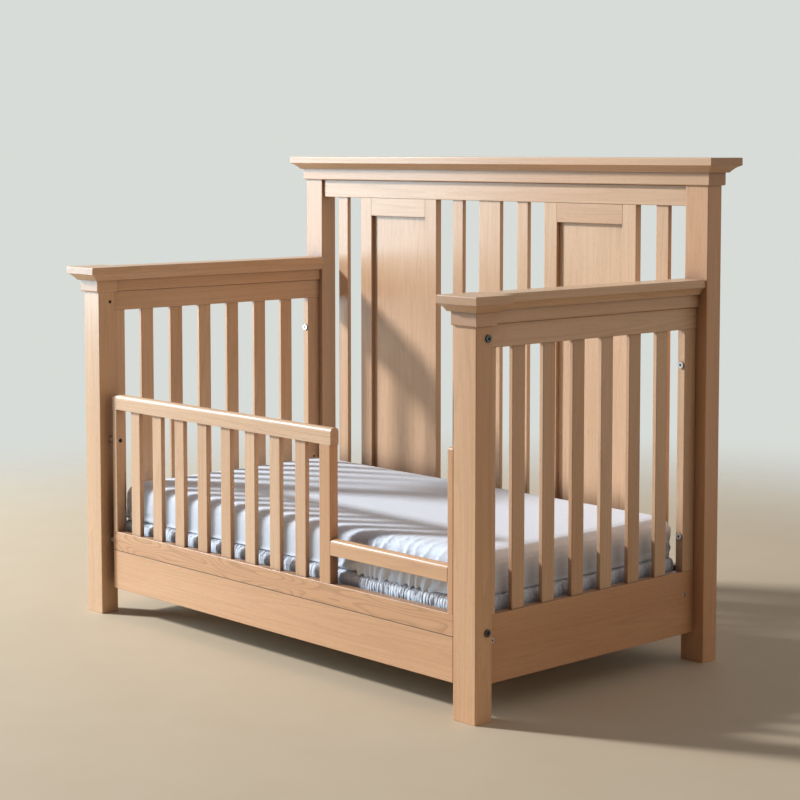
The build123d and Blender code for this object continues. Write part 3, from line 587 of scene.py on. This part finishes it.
spare = sheet.vertex_groups.new(name="spare_cloth")
pins = sheet.vertex_groups.new(name="held_cloth")
starts = []
for vert in sheet.data.vertices:
    p = vert.co
    depth = max(0.0, sheet_high.z - p.z)
    inland = min(p.x - sheet_low.x, sheet_high.x - p.x, p.y - sheet_low.y, sheet_high.y - p.y)
    at_hem = p.z < HEM_TOP + 0.004
    hanging = p.y < core_middle.y and gap_left + 0.05 < p.x < gap_right - 0.01
    held = (at_hem and not hanging) or inland > HELD_INLAND
    pins.add([vert.index], 1.0 if held else 0.0, "REPLACE")
    spare.add([vert.index], loose(p), "REPLACE")
    growth = 0.4 + 0.6 * smooth(depth, 0.0, 0.10)
    wave = loose(p) * growth * fold_wave(p.x, depth)
    tuck = TUCK * (1 - smooth(p.z, HEM_TOP, HEM_TOP + 0.022)) * (1 - loose(p))
    drop = (RAGGED_DROP * wave - RAGGED_LIFT * loose(p)) * (1 - smooth(p.z, HEM_TOP, HEM_TOP + 0.03))
    flare = FLARE * loose(p) * smooth(depth, 0.03, 0.10)
    starts.append(p + vert.normal * (FOLD_DEPTH * wave + flare - tuck) - Vector((0, 0, drop)))
for vert, start in zip(sheet.data.vertices, starts):
    vert.co = start
print("points with spare cloth:", sum(loose(v.co) > 0 for v in sheet.data.vertices))

# %% [markdown]
# The cloth falls for a second or so and settles on the core. Its modifier could be left to run with every
# render, but then the model would depend on a cache. The settled shape replaces the starting one instead,
# so the finished sheet is plain geometry. One level of subdivision rounds what is left of the squares.

# %% Let the cloth settle
FRAMES = 36
CORE_SKIN = 0.002
CORE_GRIP = 8
CLOTH_GAP = 0.0015
LIMP_COTTON = {
    "quality": 6, "mass": 0.13, "tension_stiffness": 18, "compression_stiffness": 18, "shear_stiffness": 6,
    "bending_stiffness": 0.002, "air_damping": 3, "vertex_group_mass": "held_cloth", "pin_stiffness": 1,
    "vertex_group_shrink": "spare_cloth", "shrink_min": 0, "shrink_max": -0.10,
}
core.modifiers.new("solid_core", "COLLISION")
core.collision.thickness_outer = CORE_SKIN
core.collision.cloth_friction = CORE_GRIP
drape = sheet.modifiers.new("drape", "CLOTH")
for setting, value in LIMP_COTTON.items():
    setattr(drape.settings, setting, value)
drape.collision_settings.distance_min = CLOTH_GAP
drape.collision_settings.use_self_collision = False
drape.point_cache.frame_start = 1
drape.point_cache.frame_end = FRAMES
scene = bpy.context.scene
for step in range(1, FRAMES + 1):
    scene.frame_set(step)
settled = bpy.data.meshes.new_from_object(sheet.evaluated_get(bpy.context.evaluated_depsgraph_get()))
before = np.array([v.co for v in sheet.data.vertices])
after = np.array([v.co for v in settled.vertices])
print("cloth moved up to", round(float(np.abs(after - before).max()), 4), "m")
sheet.modifiers.clear()
core.modifiers.clear()
scene.frame_set(1)
sheet.data = settled
for face in sheet.data.polygons:
    face.use_smooth = True
rounder = sheet.modifiers.new("rounder", "SUBSURF")
rounder.levels = rounder.render_levels = 1
print("sheet faces before rounding:", len(sheet.data.polygons))

# %% [markdown]
# ## The elastic hem
# Below the sheet's sides the elastic draws the cloth into a narrow ruffle that flares out over the support.
# Its folds are about 8 mm apart, far finer than the simulated cloth could show, so they are drawn: a strip
# follows the mattress's outline, and its points swing in and out with an uneven wave. The gathers are deepest
# at the climb-in gap, where the sheet has come loose, and shallow behind the guard.

# %% The line that the hem follows
CORNER_STEPS = 12
HEM_STEP = 0.0012


def around(low, high, radius, step):
    """Points, outward directions and lengths along a rectangle with round corners."""
    ring = []
    corners = ((high.x, low.y, -90), (high.x, high.y, 0), (low.x, high.y, 90), (low.x, low.y, 180))
    for x, y, start in corners:
        hub = Vector((x - math.copysign(radius, x), y - math.copysign(radius, y), 0))
        for i in range(CORNER_STEPS + 1):
            a = math.radians(start + 90 / CORNER_STEPS * i)
            out = Vector((math.cos(a), math.sin(a), 0))
            ring.append((hub + radius * out, out))
    places, travelled = [], 0.0
    for (p, n), (q, m) in zip(ring, ring[1:] + ring[:1]):
        span = (q - p).length
        count = max(1, round(span / step))
        for i in range(count):
            t = i / count
            places.append((p.lerp(q, t), n.lerp(m, t).normalized(), travelled + t * span))
        travelled += span
    return places, travelled


edge_line, girth = around(sheet_low, sheet_high, SHEET_RADIUS, HEM_STEP)
print("hem girth", round(girth, 3), "m")

# %% Elastic hem
FOLD_PITCH = 0.0075
BROAD_PITCH = 0.0173
GATHER = 0.0018
RUFFLE_LIFT, WAVE_LIFT = 0.004, 0.0015
# The strip's profile from the groove under the sheet to the deck: how far out, and how high.
HEM_OUT = [-0.012, -0.0085, -0.004, 0.0, 0.003, 0.0045, 0.0055, 0.005, 0.003]
HEM_UP = [0.0385, 0.037, 0.035, 0.032, 0.028, 0.023, 0.017, 0.0095, 0.0015]
strip = bmesh.new()
rows = []
# The first number in each wander sets how often it changes in a metre of hem.
for level, (hem_out, hem_up) in enumerate(zip(HEM_OUT, HEM_UP)):
    t = level / (len(HEM_OUT) - 1)
    swing = GATHER * smooth(t, 0.0, 0.35)
    row = []
    for place, out, length in edge_line:
        drift = 1.2 * wander(length * 31, 0.7, 3.1) + 0.6 * wander(length * 60, t * 4, 9)
        wave = 2 * abs(math.sin(math.pi * (length / FOLD_PITCH + drift))) - 1
        wave += 0.6 * math.sin(2 * math.pi * (length / BROAD_PITCH + 1.5 * drift))
        at_gap = smooth(place.x, gap_left - 0.02, gap_left + 0.05) * (place.y < core_middle.y)
        swell = (0.4 + 0.6 * at_gap) * (0.6 + 0.6 * wander(length * 34, 5.2, 2 * t))
        lift = RUFFLE_LIFT * wander(length * 14, 2.2, 6.0) + WAVE_LIFT * wave
        height = deck + hem_up + lift * smooth(hem_up, 0.008, 0.02)
        reach = hem_out + swing * swell * wave
        row.append(strip.verts.new(place + out * reach + Vector((0, 0, height))))
    rows.append(row)
for upper, lower in zip(rows, rows[1:]):
    for k in range(len(edge_line)):
        n = (k + 1) % len(edge_line)
        strip.faces.new((upper[k], lower[k], lower[n], upper[n]))
hem_mesh = bpy.data.meshes.new("elastic_hem")
strip.to_mesh(hem_mesh)
strip.free()
hem = show("elastic_hem", hem_mesh)
print("hem points:", len(hem.data.vertices))

# %% [markdown]
# ## Cotton percale and ticking
# Percale is a plain, close weave: white and matt, with a faint fuzz that catches light at grazing angles. The
# ticking below is heavier and greyer. A weave can be modelled thread by thread for a close-up; from here a
# bump of crossed waves is enough. Real threads are a quarter of a millimetre apart, too fine to show, so the
# weave is drawn at 1.2 mm for the percale and 1.6 mm for the ticking. Slubs, which are thick places in the
# yarn, vary the tone every centimetre or so, and soft creases come every 7 cm.

# %% Cloth finishes
# Ninety slubs and fourteen creases to the metre.
SLUB_MM, CREASE_MM = 1000 / 90, 1000 / 14


def woven(name, light, dark, thread_mm, relief_strength, fuzz):
    finish, tree = new_finish(name)
    place = add(tree, "TexCoord").outputs["Object"]
    warp = add(tree, "VectorMath", operation="SCALE", I0=place, Scale=2 * math.pi / (thread_mm / 1000))
    waves = add(tree, "VectorMath", operation="SINE", I0=warp)
    split = add(tree, "SeparateXYZ", Vector=waves)
    weft = add(tree, "Math", operation="MULTIPLY", I0=split.outputs["X"], I1=split.outputs["Y"])
    weave = add(tree, "Math", operation="MULTIPLY_ADD", I0=weft, I1=0.5, I2=split.outputs["Z"])
    slub = add(tree, "TexNoise", Vector=place, Scale=1000 / SLUB_MM, Detail=4.0, Roughness=0.6)
    crease = add(tree, "TexNoise", Vector=place, Scale=1000 / CREASE_MM, Detail=3.0, Roughness=0.5)
    even = add(tree, "MapRange", Value=slub.outputs["Fac"], From_Min=0.3, From_Max=0.7)
    base = add(tree, "Mix", data_type="RGBA", I0=even, I6=colour(light), I7=colour(dark)).outputs[2]
    rough = add(tree, "MapRange", Value=weave, From_Min=-1.5, From_Max=1.5, To_Min=0.8, To_Max=0.92)
    limp = add(tree, "Bump", Strength=0.35, Distance=0.004, Height=crease.outputs["Fac"])
    relief = add(tree, "Bump", Strength=relief_strength, Distance=0.0003, Height=weave, Normal=limp)
    cotton = add(
        tree, "BsdfPrincipled", Base_Color=base, Roughness=rough, Normal=relief,
        Sheen_Weight=fuzz, Sheen_Roughness=0.4,
    )
    add(tree, "OutputMaterial", Surface=cotton)
    return finish


percale = woven("cotton_percale_woven", "#EDF4FE", "#E7EFFA", thread_mm=1.2, relief_strength=0.1, fuzz=0.1)
ticking = woven("cotton_ticking_twill", "#D9D6CE", "#C8C4BB", thread_mm=1.6, relief_strength=0.4, fuzz=0.08)
sheet.data.materials.append(percale)
hem.data.materials.append(percale)
core.data.materials.append(ticking)
print("cloth finishes:", percale.name, ticking.name)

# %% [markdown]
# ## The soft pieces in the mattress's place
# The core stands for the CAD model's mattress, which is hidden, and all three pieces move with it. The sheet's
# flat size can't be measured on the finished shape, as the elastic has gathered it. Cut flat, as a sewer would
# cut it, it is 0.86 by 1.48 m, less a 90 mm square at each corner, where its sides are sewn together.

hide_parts("mattress")
for piece in (core, sheet, hem):
    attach(piece, "mattress")
areas = [sum(face.area for face in piece.data.polygons) for piece in (sheet, hem)]
print("cloth area, sheet and hem:", [round(area, 3) for area in areas])

# %% [markdown]
# ## The floor
# The crib stands on a plain pale floor, rolled with matt paint: hardly any gloss, a faint mottle and the crib's
# shadow. A square plane would show its rim against the background. A disc that fades to nothing before its
# rim has no edge to hide, so the floor is one of those.

# %% Floor
FLOOR_RADIUS = 4.0
FLOOR_GAP = 0.0005
FADE_FROM, FADE_TO = 1.6, 3.8
# Six mottles to the metre, and the stipple that a roller leaves, 2.5 mm wide.
MOTTLE_MM, STIPPLE_MM = 1000 / 6, 2.5
floor_shape = bmesh.new()
bmesh.ops.create_circle(floor_shape, cap_ends=True, segments=96, radius=FLOOR_RADIUS)
floor_mesh = bpy.data.meshes.new("floor")
floor_shape.to_mesh(floor_mesh)
floor_shape.free()
floor = show("floor", floor_mesh)
floor.location.z = cad_low.z - FLOOR_GAP
pale, tree = new_finish("floor_matt_paint")
place = add(tree, "TexCoord").outputs["Object"]
mottle = add(tree, "TexNoise", Vector=place, Scale=1000 / MOTTLE_MM, Detail=5.0).outputs["Fac"]
stipple = add(tree, "TexNoise", Vector=place, Scale=1000 / STIPPLE_MM, Detail=2.0).outputs["Fac"]
base = add(tree, "Mix", data_type="RGBA", I0=mottle, I6=colour("#CBB699"), I7=colour("#D1BEA3")).outputs[2]
relief = add(tree, "Bump", Strength=0.1, Distance=0.0003, Height=stipple)
paint = add(tree, "BsdfPrincipled", Base_Color=base, Roughness=0.7, Normal=relief)
reach = add(tree, "VectorMath", operation="LENGTH", I0=place).outputs["Value"]
fade = add(tree, "MapRange", **EASED, Value=reach, From_Min=FADE_FROM, From_Max=FADE_TO)
faded = add(tree, "MixShader", I0=fade, I1=paint, I2=add(tree, "BsdfTransparent"))
add(tree, "OutputMaterial", Surface=faded)
floor.data.materials.append(pale)
print("floor radius", FLOOR_RADIUS, "m, fading out from", FADE_FROM, "m")

# %% [markdown]
# ## Lamps
# Light comes from the front left. One lamp high up and far away gives the slats clear, nearly parallel
# shadows. A sun lamp could do that too, but an area lamp of a known size and distance is closer to what a
# studio has. A larger, cooler panel on the same side, level with the top of the headboard, lifts the fronts
# and softens the shadows a little.

# %% Lamps
def lamp(name, place, target, size, watts, tint):
    light = bpy.data.lights.new(name, "AREA")
    light.shape = "DISK"
    light.size = size
    light.energy = watts
    light.color = colour(tint)[:3]
    holder = bpy.data.objects.new(name, light)
    bpy.context.scene.collection.objects.link(holder)
    holder.location = place
    holder.visible_camera = False
    holder.rotation_euler = (Vector(target) - Vector(place)).to_track_quat("-Z", "Y").to_euler()
    return holder


lamp("key_lamp", place=(-9.0, -5.4, 6.4), target=(0, 0, 0.5), size=1.3, watts=1740, tint="#F6FAFF")
lamp("soft_panel", place=(-3.75, -2.3, 1.25), target=(0, 0.2, 0.7), size=1.6, watts=100, tint="#CDEDFF")

# %% [markdown]
# ## Sky and background
# The sky fills the shadows. An even grey one would flatten the shaded ends, so this one is warm and brightest
# behind and to the right and dim at the front, and a little cool light is added from above. The background
# is a plain pale grey. Only the camera's rays, and rays that are mirrored or pass through something clear,
# meet it: it shows in the gloss of lacquer and steel but gives no other light, so the two can be set apart.

# %% Sky
BRIGHT_SIDE = Vector((0.75, 0.65, 0.1)).normalized()
SIDE_DIM, SIDE_BRIGHT = 0.04, 0.47
OVERHEAD = 0.17
sky = bpy.data.worlds.new("studio")
sky.use_nodes = True
tree = sky.node_tree
tree.nodes.clear()
toward = add(tree, "TexCoord").outputs["Generated"]
side = add(tree, "VectorMath", operation="DOT_PRODUCT", I0=toward, I1=BRIGHT_SIDE).outputs["Value"]
level = add(tree, "MapRange", **EASED, Value=side, To_Min=SIDE_DIM, To_Max=SIDE_BRIGHT)
fill = add(tree, "Background", Color=colour("#F8EADC"), Strength=level)
height = add(tree, "SeparateXYZ", Vector=toward).outputs["Z"]
upper = add(tree, "MapRange", Value=height, To_Max=OVERHEAD)
overhead = add(tree, "Background", Color=colour("#D8E8FF"), Strength=upper)
dome = add(tree, "AddShader", I0=fill, I1=overhead)
seen = add(tree, "Background", Color=colour("#D8DCD8"), Strength=1.0)
ray = add(tree, "LightPath").outputs
mirrored = add(tree, "Math", operation="MAXIMUM", I0=ray["Is Glossy Ray"], I1=ray["Is Transmission Ray"])
shown = add(tree, "Math", operation="MAXIMUM", I0=ray["Is Camera Ray"], I1=mirrored)
either = add(tree, "MixShader", I0=shown, I1=dome, I2=seen)
add(tree, "OutputWorld", Surface=either)
bpy.context.scene.world = sky
print("sky brightest towards", [round(c, 2) for c in BRIGHT_SIDE])

# %% [markdown]
# ## Camera
# The crib is seen from the front right, from a little above its top. A short lens close by would make its
# uprights lean and its far end shrink, so a long lens stands five metres off. The camera could be tilted until
# the crib is in the middle of the frame, but that too makes uprights lean. Part of the way is tilt, and a
# shift of the lens does the rest.

# %% Camera
FOCAL_MM, FILM_MM = 88.68, 36
LENS_SHIFT = -0.12
CAMERA_PLACE = (3.6072, -3.2748, 1.2036)
TILT_DOWN, TURN = 4.4, 47.346
view = bpy.data.cameras.new("camera")
view.lens = FOCAL_MM
view.sensor_width = FILM_MM
view.shift_y = LENS_SHIFT
camera = bpy.data.objects.new("camera", view)
bpy.context.scene.collection.objects.link(camera)
camera.location = CAMERA_PLACE
camera.rotation_euler = (math.radians(90 - TILT_DOWN), 0, math.radians(TURN))
bpy.context.scene.camera = camera
bpy.context.scene.view_settings.view_transform = "Standard"
print("camera", round(Vector(CAMERA_PLACE).length, 2), "m from the middle of the floor")
